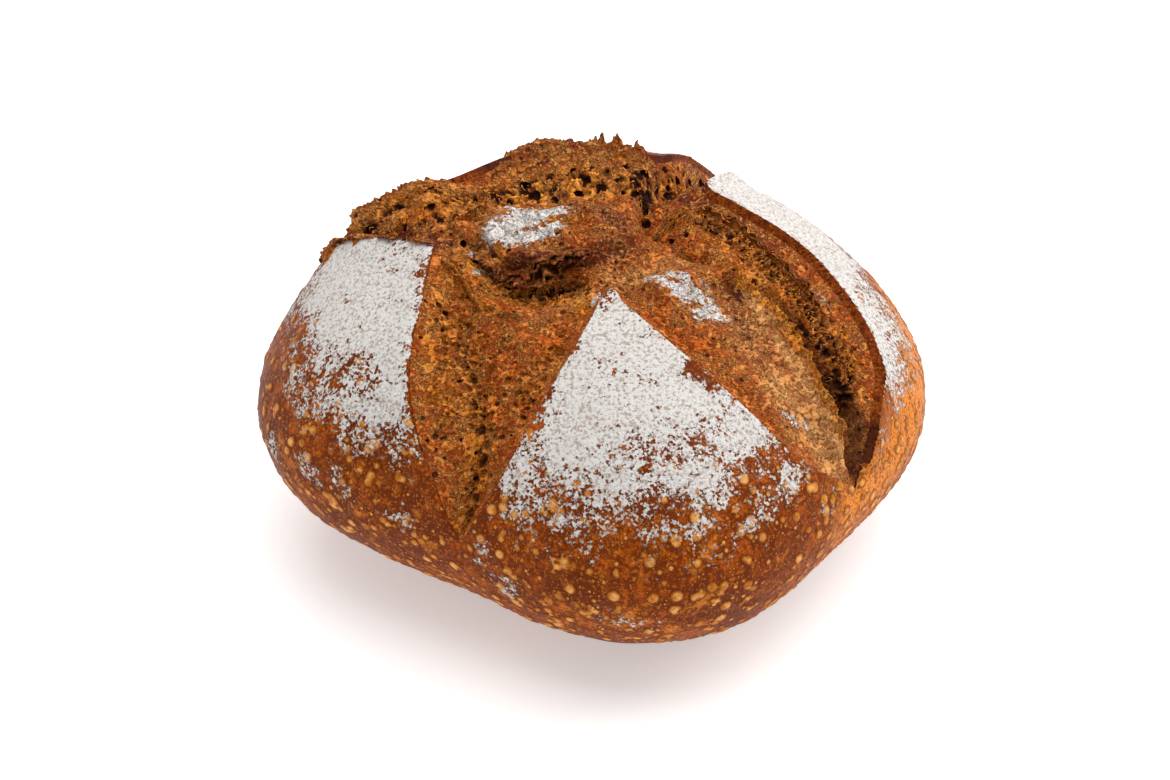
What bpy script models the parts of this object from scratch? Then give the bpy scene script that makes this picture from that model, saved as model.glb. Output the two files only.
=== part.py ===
"""A round spelt loaf, scored with a cross and torn open by the oven.

The loaf is one solid. Its skin is a dome whose every point lies in some direction from the
loaf's heart: a bearing, in degrees anticlockwise from +X seen from above, and a drop, in degrees
down from straight up. Four crust petals stand round a torn cross, and the tear's valleys, ridges
and flakes are drawn as strokes along paths of bearings and drops.

Metres, +Z up, standing on z = 0.
"""

import bmesh
import bpy
import numpy as np
from mathutils import Vector, noise

# The dome
DOME_RADIUS = 0.1084  # of the widest ring, before the bulges
DOME_HEIGHT = 0.1147
HEART_HEIGHT = 0.0508  # of the widest ring, and of the point that directions start from
HEART_PLACE = (0.0067, -0.0014)  # beside the origin, which is the middle of the whole loaf's box
UNDERSIDE_REACH = 0.010  # how far below the floor the underside's curve would end
TOP_ROUNDNESS = 1.79  # 2 is an ellipse, less is more pointed
UNDERSIDE_ROUNDNESS = 2.0
SQUARENESS = 0.039  # of the plan, as a share of the radius
SQUARE_TURN = 9.3  # degrees from +X to the first rounded corner

# Soft bulges and hollows of the dough: bearing, drop, spread in degrees, share of the radius
BULGES = {
    "left petal": (195, 72, 32, 0.109),
    "front petal": (288, 80, 32, 0.024),
    "right petal": (12, 75, 32, -0.061),
    "back petal": (105, 70, 32, 0.057),
    "left shoulder": (158, 50, 22, 0.174),
    "back crest": (95, 38, 20, 0.023),
    "right heel": (315, 92, 24, -0.034),
    "left flank": (240, 95, 24, -0.056),
    "right brow": (45, 48, 24, 0.036),
    "back hump": (110, 53, 5.5, 0.036),
    "back saddle": (139, 52, 9, -0.045),
    "brow saddle": (66, 46, 8, -0.060),
    "left crest": (168, 59, 5, 0.024),
}

# The cut edge of each petal, as (bearing, drop), from one tip of the cross to the next
SW_TIP, NW_TIP, NE_TIP, SE_TIP = (240.5, 88), (163, 78), (66, 86), (320.5, 86)
PETAL_EDGES = {
    "left": [SW_TIP, (222, 67), (199, 50), (184, 44.5), (182, 45), (173, 57), NW_TIP],
    "back": [NW_TIP, (150, 62), (128, 54), (102, 49), (77, 50), (70, 66), NE_TIP],
    "right": [NE_TIP, (58, 62), (48, 38), (28, 38), (8, 54), (348, 69.5), (334, 77), SE_TIP],
    "front": [SE_TIP, (308, 73), (294, 49), (276, 31), (266, 25), (255, 45), (247, 72), SW_TIP],
}
LIP_RISES = {"left": 0.0010, "back": 0.0025, "right": 0.0030, "front": 0.0008}
LIP_WIDTH = 0.008
LIP_FADE = 0.018  # the lips flatten this far from the cross's tips
CUT_STEP = 0.0022  # how far the torn crumb lies below the crust beside it
CUT_WIDTH = 0.0045

# Strokes of relief in the tear: path of (bearing, drop), half width and height in metres
STROKES = {
    "left valley": ([(200, 46), (213, 55), (230, 62), (239, 72), (240, 85)], 0.013, -0.0040),
    "hollow under the island": ([(188, 37), (209, 36), (221, 32), (236, 24)], 0.007, -0.0060),
    "golden hollow": ([(228, 38), (240, 34)], 0.008, -0.0025),
    "slab": ([(300, 26), (341, 36), (333, 46), (328, 57), (324, 68), (321, 78)], 0.008, 0.0045),
    "crevice": (
        [(62, 27), (33, 18), (350, 28), (343, 39), (338, 50), (333, 61), (329, 71), (325, 80)],
        0.0060,
        -0.0130,
    ),
    "back trough": ([(146, 40), (125, 35), (105, 32), (88, 31), (74, 33)], 0.009, -0.0095),
    "back channel": ([(72, 36), (67, 55), (66, 80)], 0.009, -0.0080),
    "left ridge": ([(164, 62), (160, 52), (152, 43)], 0.008, 0.0045),
    "left channel": ([(176, 50), (170, 60), (164, 74)], 0.006, -0.0040),
}
ISLAND_PATH = [(180, 23), (150, 5)]  # the middle of the torn centre, left standing
ISLAND_HALF_WIDTH = 0.021
ISLAND_RISE = 0.0045
ISLAND_EDGE = 0.0045
TEAR_WANDER = 0.0045  # how far the strokes' edges wander from their paths
TEAR_WANDER_SIZE = 0.016

# Crags and flakes
CRAG_SIZE = 0.008
CRAG_HEIGHT = 0.0016
SKIN_WAVE_SIZE = 0.035
SKIN_WAVE_HEIGHT = 0.0008
FLAKE_PATHS = {
    "left ridge": ([(166, 64), (161, 54), (154, 45), (146, 42)], 9),
    "back crest": ([(112, 49), (98, 48), (84, 50), (72, 46)], 9),
    "right brow": ([(62, 40), (50, 38), (42, 37)], 5),
}
FLAKE_HEIGHT = 0.0042
FLAKE_HALF_WIDTH = 0.0024
FLAKE_SCATTER = 0.0015  # how far the flakes stand off their paths
SEED = 11

# The mesh
MAP_SCALE = 0.10  # metres on the skin for one radian of direction
SPHERE_SUBDIVISIONS = 7
TRIANGLE_SHARE = 0.142  # of the sphere's triangles, kept where the form turns most
SOLE_DEPTH = 0.0002  # points this near the floor are put on it

CRUST_COLOUR = (0.42, 0.16, 0.045, 1.0)
CRUST_ROUGHNESS = 0.62


def directions(bearings, drops):
    """Unit vectors for bearings and drops in degrees."""
    bearings, drops = np.radians(bearings), np.radians(drops)
    across = np.sin(drops)
    return np.stack([across * np.cos(bearings), across * np.sin(bearings), np.cos(drops)], axis=-1)


def on_map(units):
    """Directions laid flat round straight up, in metres along the skin."""
    drops = np.arccos(np.clip(units[..., 2], -1, 1))
    across = np.hypot(units[..., 0], units[..., 1]) + 1e-12
    return units[..., :2] * (MAP_SCALE * drops / across)[..., None]


def path_on_map(path, steps=6):
    """A smooth curve through a path's points on the map (Catmull-Rom), as points."""
    corners = on_map(directions(*np.array(path, float).T))
    padded = np.concatenate([corners[:1], corners, corners[-1:]])
    t = np.linspace(0, 1, steps, endpoint=False)[:, None]
    curve = [
        0.5
        * (
            2 * b
            + (c - a) * t
            + (2 * a - 5 * b + 4 * c - d) * t**2
            + (3 * b - a - 3 * c + d) * t**3
        )
        for a, b, c, d in zip(padded, padded[1:], padded[2:], padded[3:])
    ]
    return np.concatenate(curve + [corners[-1:]])


def distance_to_path(points, path):
    """Distance from each point of the map to a line of points."""
    nearest = np.full(len(points), np.inf)
    for start, end in zip(path, path[1:]):
        run = end - start
        along = ((points - start) @ run / max(run @ run, 1e-12)).clip(0, 1)
        offset = points - start - along[:, None] * run
        nearest = np.minimum(nearest, np.hypot(*offset.T))
    return nearest


def inside(points, outline):
    """Whether each point of the map lies inside a closed outline."""
    x, y = points.T
    found = np.zeros(len(points), bool)
    for (x0, y0), (x1, y1) in zip(outline, np.roll(outline, -1, axis=0)):
        if y0 != y1:
            found ^= ((y0 > y) != (y1 > y)) & (x < x0 + (y - y0) * (x1 - x0) / (y1 - y0))
    return found


def smooth_step(value):
    value = np.clip(value, 0, 1)
    return value * value * (3 - 2 * value)


def dome_radius(units):
    """Distance from the heart to the plain dome, with its bulges, in each direction."""
    bearing = np.arctan2(units[:, 1], units[:, 0])
    rise, across = units[:, 2], np.hypot(units[:, 0], units[:, 1])
    above = rise >= 0
    reach = np.where(above, DOME_HEIGHT - HEART_HEIGHT, HEART_HEIGHT + UNDERSIDE_REACH)
    power = np.where(above, TOP_ROUNDNESS, UNDERSIDE_ROUNDNESS)
    ring = DOME_RADIUS * (1 + SQUARENESS * np.cos(4 * (bearing - np.radians(SQUARE_TURN))))
    radius = ((across / ring) ** power + (np.abs(rise) / reach) ** power) ** (-1 / power)
    swell = np.ones(len(units))
    for bulge_bearing, drop, spread, share in BULGES.values():
        cosine = units @ directions(bulge_bearing, drop)
        swell += share * np.exp(-((np.degrees(np.arccos(cosine.clip(-1, 1))) / spread) ** 2))
    return radius * swell


def noise_at(points, size, octaves=3):
    """Smooth noise of about -1 to 1 at points in metres, with features of this size."""
    return np.array([noise.fractal(Vector(p), 1.0, 2.0, octaves) for p in points / size])


def flake_spots():
    """Where the flakes stand: map points spread along their paths, each with its own height."""
    draw = np.random.default_rng(SEED)
    for path, count in FLAKE_PATHS.values():
        curve = path_on_map(path, steps=20)
        for place in np.linspace(0, len(curve) - 1, count).astype(int):
            spot = curve[place] + draw.normal(0, FLAKE_SCATTER, 2)
            yield spot, FLAKE_HEIGHT * draw.uniform(0.5, 1.0)


def wandering(spots, points):
    """Map points shifted by smooth noise, so that what is drawn along them has uneven edges."""
    apart = np.array((0, 0, 1.0))
    shift = [noise_at(points + n * apart, TEAR_WANDER_SIZE, octaves=2) for n in (1, 2)]
    return spots + TEAR_WANDER * np.stack(shift, axis=-1)


def tear_relief(spots, points):
    """Height that the tear's strokes, island and crags give each point of the map."""
    spots = wandering(spots, points)
    relief = np.zeros(len(spots))
    for path, half_width, height in STROKES.values():
        away = distance_to_path(spots, path_on_map(path))
        relief += height * np.exp(-((away / half_width) ** 2))
    away = distance_to_path(spots, path_on_map(ISLAND_PATH))
    relief += ISLAND_RISE * smooth_step(0.5 + (ISLAND_HALF_WIDTH - away) / ISLAND_EDGE)
    relief += CRAG_HEIGHT * noise_at(points, CRAG_SIZE)
    return relief


def skin_radius(units):
    """Distance from the heart to the loaf's skin in each direction."""
    radius = dome_radius(units)
    points = units * radius[:, None]
    spots = on_map(units)
    radius += SKIN_WAVE_HEIGHT * noise_at(points, SKIN_WAVE_SIZE)

    edges = {name: path_on_map(path) for name, path in PETAL_EDGES.items()}
    outline = np.concatenate(list(edges.values()))
    apart = {name: distance_to_path(spots, edge) for name, edge in edges.items()}
    depth_in = np.min(list(apart.values()), axis=0)
    torn = inside(spots, outline)
    tips = on_map(directions(*np.array([SW_TIP, NW_TIP, NE_TIP, SE_TIP], float).T))
    from_tip = np.min([np.hypot(*(spots - tip).T) for tip in tips], axis=0)
    for name, rise in LIP_RISES.items():
        lip = rise * np.exp(-((apart[name] / LIP_WIDTH) ** 2)) * smooth_step(from_tip / LIP_FADE)
        radius += np.where(torn, 0, lip)
    opening = np.where(torn, smooth_step(depth_in / CUT_WIDTH), 0)
    relief = np.zeros(len(units))
    relief[torn] = tear_relief(spots[torn], points[torn])
    radius += opening * (relief - CUT_STEP)
    for spot, height in flake_spots():
        away = np.hypot(*(spots - spot).T)
        radius += height * np.clip(1 - away / FLAKE_HALF_WIDTH, 0, 1)
    return radius


def on_sole(points, units):
    """Points below the floor slid along their own directions up to it."""
    under = points[:, 2] < -HEART_HEIGHT
    points[under] = units[under] * (-HEART_HEIGHT / units[under, 2])[:, None]
    return points


def crust_material():
    material = bpy.data.materials.new("baked crust")
    material.use_nodes = True
    shader = material.node_tree.nodes["Principled BSDF"]
    shader.inputs["Base Color"].default_value = CRUST_COLOUR
    shader.inputs["Roughness"].default_value = CRUST_ROUGHNESS
    material.diffuse_color = CRUST_COLOUR
    return material


def fine_loaf_mesh():
    """The whole skin as a dense closed mesh."""
    form = bmesh.new()
    bmesh.ops.create_icosphere(form, subdivisions=SPHERE_SUBDIVISIONS, radius=1.0)
    units = np.array([v.co for v in form.verts])
    units /= np.linalg.norm(units, axis=1)[:, None]
    points = on_sole(units * skin_radius(units)[:, None], units)
    for vertex, point in zip(form.verts, points):
        vertex.co = point + (*HEART_PLACE, HEART_HEIGHT)
    mesh = bpy.data.meshes.new("loaf")
    form.to_mesh(mesh)
    form.free()
    return mesh


def make_loaf():
    loaf = bpy.data.objects.new("loaf", fine_loaf_mesh())
    bpy.context.scene.collection.objects.link(loaf)
    thin = loaf.modifiers.new("keep the crags", "DECIMATE")
    thin.ratio = TRIANGLE_SHARE
    bpy.context.view_layer.update()
    evaluated = loaf.evaluated_get(bpy.context.evaluated_depsgraph_get())
    mesh = bpy.data.meshes.new_from_object(evaluated)
    loaf.modifiers.clear()
    loaf.data = mesh
    for vertex in mesh.vertices:
        if vertex.co.z < SOLE_DEPTH:
            vertex.co.z = 0
    mesh.materials.clear()
    mesh.materials.append(crust_material())
    mesh.shade_smooth()
    return loaf


for old in list(bpy.data.objects):
    bpy.data.objects.remove(old)
make_loaf()
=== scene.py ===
"""A round spelt loaf with four floured crust petals round a torn cross of open crumb.

Five pieces stand for the solid loaf. The crust is the whole skin, cut out along the petals'
edges. The crumb is a body inside it whose torn top shows in the cut, pocked with bubbles. The
flakes are thin shards of crust along the tear's crests, the ragged edges are crumpled sheets of
it, and the strands are the thin webs that the tearing dough drew out. Places on the loaf are
bearings, in degrees anticlockwise from +X seen from above, and drops, in degrees down from
straight up, seen from the loaf's heart. Metres, +Z up.
"""

import math

import bmesh
import bpy
import numpy as np
from bpy.props import FloatProperty, FloatVectorProperty, IntProperty, PointerProperty
from mathutils import Euler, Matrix, Vector, kdtree, noise


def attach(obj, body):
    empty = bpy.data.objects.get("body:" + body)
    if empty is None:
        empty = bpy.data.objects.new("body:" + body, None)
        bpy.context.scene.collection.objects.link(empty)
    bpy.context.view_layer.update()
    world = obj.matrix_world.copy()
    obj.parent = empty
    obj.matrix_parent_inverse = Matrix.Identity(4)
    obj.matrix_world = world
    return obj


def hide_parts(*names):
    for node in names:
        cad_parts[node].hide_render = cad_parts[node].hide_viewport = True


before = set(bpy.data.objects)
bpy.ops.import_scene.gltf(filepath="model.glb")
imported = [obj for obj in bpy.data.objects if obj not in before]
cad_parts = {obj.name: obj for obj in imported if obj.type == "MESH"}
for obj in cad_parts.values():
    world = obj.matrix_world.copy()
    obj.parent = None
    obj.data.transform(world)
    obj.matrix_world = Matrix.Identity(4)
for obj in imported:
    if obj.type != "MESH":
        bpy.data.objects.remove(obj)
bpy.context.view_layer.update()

bl_info = {
    "name": "Spelt loaf",
    "version": (1, 0, 0),
    "blender": (4, 5, 0),
    "location": "3D View > Sidebar > Loaf",
    "description": "Crust, torn crumb and flakes of a scored spelt loaf, with its stage",
    "category": "Add Mesh",
}

# ---------------------------------------------------------------- the loaf's form, as in the solid

DOME_RADIUS = 0.1084
DOME_HEIGHT = 0.1147
HEART = np.array((0.0067, -0.0014, 0.0508))
UNDERSIDE_REACH = 0.010
TOP_ROUNDNESS = 1.79
UNDERSIDE_ROUNDNESS = 2.0
SQUARENESS = 0.039
SQUARE_TURN = 9.3

# bearing, drop, spread in degrees, share of the radius
BULGES = {
    "left petal": (195, 72, 32, 0.109),
    "front petal": (288, 80, 32, 0.024),
    "right petal": (12, 75, 32, -0.061),
    "back petal": (105, 70, 32, 0.057),
    "left shoulder": (158, 50, 22, 0.174),
    "back crest": (95, 38, 20, 0.023),
    "right heel": (315, 92, 24, -0.034),
    "left flank": (240, 95, 24, -0.056),
    "right brow": (45, 48, 24, 0.036),
    "back hump": (110, 53, 5.5, 0.036),
    "back saddle": (139, 52, 9, -0.045),
    "brow saddle": (66, 46, 8, -0.060),
    "left crest": (168, 59, 5, 0.024),
}

SW_TIP, NW_TIP, NE_TIP, SE_TIP = (240.5, 88), (163, 78), (66, 86), (320.5, 86)
PETAL_EDGES = {
    "left": [SW_TIP, (222, 67), (199, 50), (184, 44.5), (182, 45), (173, 57), NW_TIP],
    "back": [NW_TIP, (150, 62), (128, 54), (102, 49), (77, 50), (70, 66), NE_TIP],
    "right": [NE_TIP, (58, 62), (48, 38), (28, 38), (8, 54), (348, 69.5), (334, 77), SE_TIP],
    "front": [SE_TIP, (308, 73), (294, 49), (276, 31), (266, 25), (255, 45), (247, 72), SW_TIP],
}
LIP_RISES = {"left": 0.0010, "back": 0.0025, "right": 0.0030, "front": 0.0008}
LIP_WIDTH = 0.008
LIP_FADE = 0.018
CUT_STEP = 0.0022
CUT_WIDTH = 0.0045

# path of (bearing, drop), half width, height
STROKES = [
    ([(200, 46), (213, 55), (230, 62), (239, 72), (240, 85)], 0.013, -0.0040),  # left valley
    ([(188, 37), (209, 36), (221, 32), (236, 24)], 0.007, -0.0060),  # hollow under the island
    ([(228, 38), (240, 34)], 0.008, -0.0025),  # golden hollow
    ([(300, 26), (341, 36), (333, 46), (328, 57), (324, 68), (321, 78)], 0.008, 0.0045),  # slab
    (
        [(62, 27), (33, 18), (350, 28), (343, 39), (338, 50), (333, 61), (329, 71), (325, 80)],
        0.0060,
        -0.0130,
    ),  # crevice
    ([(146, 40), (125, 35), (105, 32), (88, 31), (74, 33)], 0.009, -0.0095),  # back trough
    ([(72, 36), (67, 55), (66, 80)], 0.009, -0.0080),  # back channel
    ([(164, 62), (160, 52), (152, 43)], 0.008, 0.0045),  # left ridge
    ([(176, 50), (170, 60), (164, 74)], 0.006, -0.0040),  # left channel
]
ISLAND_PATH = [(180, 23), (150, 5)]
ISLAND_HALF_WIDTH = 0.021
ISLAND_RISE = 0.0045
TEAR_WANDER = 0.0045
TEAR_WANDER_SIZE = 0.016
CRAG_SIZE = 0.008
CRAG_HEIGHT = 0.0016
SKIN_WAVE_SIZE = 0.035
SKIN_WAVE_HEIGHT = 0.0008
MAP_SCALE = 0.10  # metres on the skin for one radian of direction

# ---------------------------------------------------------------- what only the looks have

CUT_REACH = 1.25  # the cutter reaches from under to over the crust, as shares of the dome
CUT_FLOOR = 0.70
CUT_STEPS = 14  # points of the cut's edge between two of its corners
CUT_RAGGEDNESS = 0.0005
CUT_RAGGEDNESS_SIZE = 0.0055
CRUMB_TUCK = 0.0050  # how deep the crumb goes under the crust beside the cut
CRUMB_TUCK_WIDTH = 0.0035
CRUMB_GAP = 0.0003
CRUMB_FLOOR = -0.030  # the crumb's body ends this far below the heart
CRUMB_MARGIN = 0.006  # how far past the cut the crumb's mesh is fine
ISLAND_CLIFF = 0.0034  # width of the island's edge in front, where it is torn off steeply
ISLAND_SLOPE = 0.0160  # and behind
ISLAND_WANDER = 0.0030
ISLAND_WANDER_SIZE = 0.008

# Finer strokes of the crumb: path, half width, height
FINE_STROKES = [
    ([(346, 38), (340, 48), (334, 59), (330, 69), (326, 78)], 0.0026, -0.0075),  # bottom of the crevice
    ([(334, 33), (333, 42), (328, 52), (324, 62), (321, 71), (319, 78)], 0.0030, 0.0016),  # ridge
    ([(184, 38), (197, 34), (210, 28), (216, 18), (232, 13)], 0.0034, -0.0034),  # under the island
    ([(60, 24), (44, 16), (20, 14)], 0.0040, -0.0040),  # right of the island
    ([(168, 46), (176, 40), (188, 41), (200, 42), (214, 43)], 0.0028, 0.0020),  # rim of the hollow
    ([(256, 44), (250, 34), (258, 27)], 0.0024, 0.0014),
    ([(126, 47), (104, 44), (86, 44)], 0.0036, -0.0030),  # foot of the back wall
    ([(338, 61), (333, 70), (330, 78), (322, 84)], 0.0024, -0.0050),  # slit at its lower end
    ([(232, 48), (229, 56), (236, 64), (240, 86)], 0.0014, -0.0016),  # seam down the left channel
]

# Size and depth of the torn cells, where the crumb is open and where it is plain
OPEN_CELL_SIZE = 0.0040
OPEN_CELL_DEPTH = 0.0034
FINE_CELL_SIZE = 0.0017
FINE_CELL_DEPTH = 0.0006
CELL_WARP = 0.0016
CELL_WARP_SIZE = 0.0050
NOISE_SEED = 11
FIBRE_SIZE = 0.0016
FIBRE_HEIGHT = 0.00035
RIGHT_WALL_WIDTH = 0.005  # the smooth cut wall below the right petal's lip

# How open the crumb is: path, half width, strength
OPEN_ZONES = [
    ([(46, 24), (24, 30), (4, 42), (352, 51), (344, 60), (337, 70), (330, 78)], 0.0075, 1.0),
    ([(140, 45), (120, 42), (100, 41), (82, 41), (72, 44), (67, 62), (66, 78)], 0.010, 0.65),
    ([(188, 37), (209, 34), (225, 28), (240, 24)], 0.006, 0.8),
    ([(168, 62), (160, 50), (152, 42)], 0.010, 0.9),
    ([(212, 50), (230, 61), (239, 72), (240, 84)], 0.004, 0.5),
    ([(180, 28), (120, 12)], 0.012, 0.25),
    ([(166, 40), (160, 36)], 0.006, 0.5),
    ([(200, 46), (214, 56), (230, 64)], 0.010, 0.28),
    ([(250, 44), (244, 56)], 0.006, 0.25),
]

# Where bubbles were torn open: path, spread, count, smallest and largest radius
BUBBLE_ZONES = [
    ([(40, 27), (20, 35), (3, 46), (352, 55), (343, 64), (337, 72), (331, 79)], 0.0050, 330, 0.0008, 0.0024),
    ([(142, 45), (120, 42), (100, 41), (82, 40), (72, 41)], 0.0060, 200, 0.0010, 0.0034),
    ([(70, 44), (67, 60), (66, 77)], 0.0060, 110, 0.0012, 0.0030),
    ([(188, 37), (209, 36), (225, 30), (240, 24)], 0.0045, 110, 0.0008, 0.0020),
    ([(228, 38), (250, 30), (285, 24)], 0.0060, 60, 0.0007, 0.0016),
    ([(203, 47), (222, 55), (238, 60)], 0.0100, 130, 0.0006, 0.0020),
    ([(206, 52), (224, 62), (236, 72)], 0.0080, 50, 0.0006, 0.0016),
    ([(252, 42), (246, 56), (243, 66)], 0.0040, 40, 0.0006, 0.0018),
    ([(214, 54), (232, 61), (239, 66), (239, 74), (240, 84)], 0.0030, 60, 0.0006, 0.0013),
    ([(230, 46), (229, 50), (227, 56), (231, 62)], 0.0012, 36, 0.0006, 0.0013),
    ([(232, 62), (236, 59)], 0.0004, 12, 0.0009, 0.0014),
    ([(240, 62), (240, 67)], 0.0003, 9, 0.0007, 0.0011),
    ([(248, 53), (248, 58)], 0.0004, 12, 0.0009, 0.0015),
    ([(228, 68), (229, 77)], 0.0004, 18, 0.0009, 0.0014),
    ([(241, 66), (241, 72)], 0.0004, 12, 0.0007, 0.0012),
    ([(240, 72), (239, 78), (241, 83), (239, 87)], 0.0007, 44, 0.0007, 0.0014),
    ([(341, 56), (337, 62), (333, 70), (331, 76), (329, 79), (322, 84)], 0.0012, 110, 0.0010, 0.0022),
    ([(80, 45), (77, 48)], 0.0014, 16, 0.0018, 0.0034),
    ([(75, 38), (71, 41)], 0.0014, 14, 0.0016, 0.0030),
    ([(91, 40), (93, 43)], 0.0012, 8, 0.0012, 0.0022),
    ([(168, 62), (160, 50), (152, 42)], 0.0070, 130, 0.0009, 0.0030),
    ([(185, 28), (120, 12)], 0.0120, 90, 0.0006, 0.0012),
    ([(318, 36), (318, 62)], 0.0090, 60, 0.0005, 0.0009),
    ([(200, 25), (20, 15)], 0.0400, 160, 0.0006, 0.0012),
]
BUBBLE_BATCHES = 17
BUBBLE_SINK = 0.55  # how far a bubble's middle lies below the skin, at most, as a share of its radius
BUBBLE_FLATTEST = 0.45  # its shortest axis, as a share of its longest
BUBBLE_DENTS = 0.26
FINE_BALL_RADIUS = 0.0015  # bubbles above this have finer meshes
# The darkening of the pores with depth is painted shade
HOLLOW_DEPTH = 0.0032  # this far below the crumb's skin, a pore shows its darkest colour
BUBBLE_SEED = 5

# The largest cavities: bearing, drop, radius
CAVITIES = [
    (74, 44, 0.0040),
    (81, 45, 0.0030),
    (86, 48, 0.0024),
    (92, 45, 0.0026),
    (99, 44, 0.0017),
    (60, 23, 0.0032),
    (66, 28, 0.0030),
    (50, 19, 0.0026),
    (38, 17, 0.0020),
    (189, 35, 0.0024),
    (196, 34, 0.0022),
    (203, 30, 0.0022),
    (209, 28, 0.0018),
    (208, 17, 0.0020),
    (218, 16, 0.0018),
    (181, 40, 0.0026),
    (175, 41, 0.0018),
    (210, 37, 0.0018),
    (201, 46, 0.0011),
    (214, 31, 0.0016),
    (321, 35, 0.0010),
    (323, 37, 0.0010),
    (213, 55, 0.0012),
    (247, 55, 0.0017),
    (247, 58, 0.0016),
    (234, 58, 0.0013),
    (233, 61, 0.0015),
    (237, 64, 0.0017),
    (238, 67, 0.0013),
    (238, 71, 0.0016),
    (238, 74, 0.0013),
    (239, 77, 0.0018),
    (239, 80, 0.0014),
    (240, 83, 0.0013),
    (230, 71, 0.0013),
    (229, 73, 0.0013),
    (203, 45, 0.0015),
    (214, 55, 0.0019),
    (186, 36, 0.0028),
    (195, 30, 0.0024),
    (340, 46, 0.0024),
    (334, 56, 0.0024),
    (331, 63, 0.0023),
    (328, 69, 0.0024),
    (327, 74, 0.0022),
    (357, 38, 0.0023),
    (347, 43, 0.0024),
    (341, 52, 0.0020),
    (165, 50, 0.0026),
    (158, 47, 0.0024),
    (170, 47, 0.0016),
]

# Flakes: path, count, longest, spread off the path, how far they lean
FLAKE_PATHS = [
    ([(169, 62), (166, 58)], 4, 0.0050, 0.0016, 0.9),
    ([(158, 50), (155, 46)], 4, 0.0045, 0.0016, 0.9),
    ([(170, 60), (158, 46), (160, 40)], 26, 0.0028, 0.0050, 1.4),
    ([(122, 52), (104, 50), (88, 50), (74, 49)], 26, 0.0026, 0.0014, 1.0),
    ([(94, 50), (93, 50)], 3, 0.0070, 0.0004, 0.6),
    ([(66, 46), (61, 44)], 3, 0.0055, 0.0010, 0.5),
    ([(64, 42), (52, 37), (42, 36)], 14, 0.0028, 0.0014, 1.0),
    ([(186, 40), (200, 33), (214, 27), (232, 16)], 22, 0.0026, 0.0016, 1.2),
    ([(332, 34), (336, 38)], 9, 0.0050, 0.0010, 0.7),
    ([(334, 42), (328, 56), (321, 74)], 40, 0.0020, 0.0014, 1.2),
    ([(333, 35), (335, 37)], 3, 0.0095, 0.0005, 0.4),
]
FLAKE_SEED = 8
FLAKE_ROOT = 0.0018

# Ragged edges of torn crust that stand up along paths: path, height, lean, layers, how dark
RAGGED_EDGES = [
    ([(172, 68), (166, 59), (158, 49), (149, 42)], 0.0036, 0.9, 4, 0.6),
    ([(174, 60), (166, 50), (160, 43)], 0.0026, 1.0, 3, 0.4),
    ([(150, 42), (158, 37), (166, 38), (174, 42)], 0.0026, 0.8, 3, 0.3),
    ([(184, 43), (174, 55), (166, 72)], 0.0022, 0.4, 3, 1.0),
    ([(124, 53), (108, 51), (92, 50), (74, 49)], 0.0024, 0.5, 3, 0.9),
    ([(130, 51), (116, 50), (102, 47.5), (90, 47.5), (78, 48)], 0.0052, 0.1, 4, 0.7),
    ([(64, 43), (52, 37), (42, 36)], 0.0028, 0.3, 2, 0.8),
    ([(182, 37), (197, 33), (210, 27), (217, 17), (234, 12)], 0.0040, -1.5, 3, 0.9),
    ([(334, 34), (333, 43), (328, 53), (324, 63), (320, 75)], 0.0028, 0.3, 3, 0.0),
    ([(188, 44), (203, 44), (216, 43), (228, 41)], 0.0016, 0.6, 2, 0.2),
    ([(40, 33), (20, 39), (2, 50), (350, 59)], 0.0020, -0.6, 2, 0.6),
]
RAGGED_SEED = 17
RAGGED_STEP = 0.0006  # size of the edges' quads
RAGGED_THICKNESS = 0.0004
RAGGED_WANDER = 0.0016
RAGGED_WANDER_SIZE = 0.005
RAGGED_TEETH_SIZES = (0.0046, 0.0013)
RAGGED_FADE = 0.004  # the edges' ends taper over this length
RAGGED_ROOT = 0.0014
RAGGED_CRUMPLE = 0.0007
RAGGED_CRUMPLE_SIZE = 0.0018

# Webs drawn out by the tearing: path, spread, count, longest
STRAND_PATHS = [
    ([(46, 24), (24, 31), (4, 43), (352, 52), (344, 61), (337, 71)], 0.0050, 240, 0.0030),
    ([(140, 44), (120, 42), (100, 41), (82, 40), (72, 42)], 0.0060, 90, 0.0026),
    ([(168, 62), (160, 50), (152, 42), (164, 38)], 0.0060, 160, 0.0030),
    ([(186, 39), (205, 36), (222, 31), (240, 26)], 0.0050, 120, 0.0030),
    ([(320, 10), (300, 16), (262, 20)], 0.0070, 60, 0.0024),
]
STRAND_SEED = 21
STRAND_MARGIN = 0.003  # no strand starts this close to the crust
STRAND_ROOT = 0.0006  # how deep its ends are set in the crumb
STRAND_POINTS = 6
STRAND_SIDES = 3

# Flour on each petal: bearing of its middle, half its width in degrees, where the drop starts to
# thin the flour and where it ends
FLOURED_PETALS = [
    (203, 40, 64, 83),
    (282, 44, 62, 86),
    (10, 62, 68, 85),
    (110, 58, 66, 86),
]
FLOUR_WANDER = 6  # degrees that the flour's lower edge wanders
FLOUR_WANDER_SIZE = 0.026
BARE_CREST_DROP = (54, 61)  # the back petal's flour starts below its crest
EDGE_RUB = 0.22  # share of the flour that the petals' edges lost
EDGE_RUB_WIDTH = 0.0030
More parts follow.
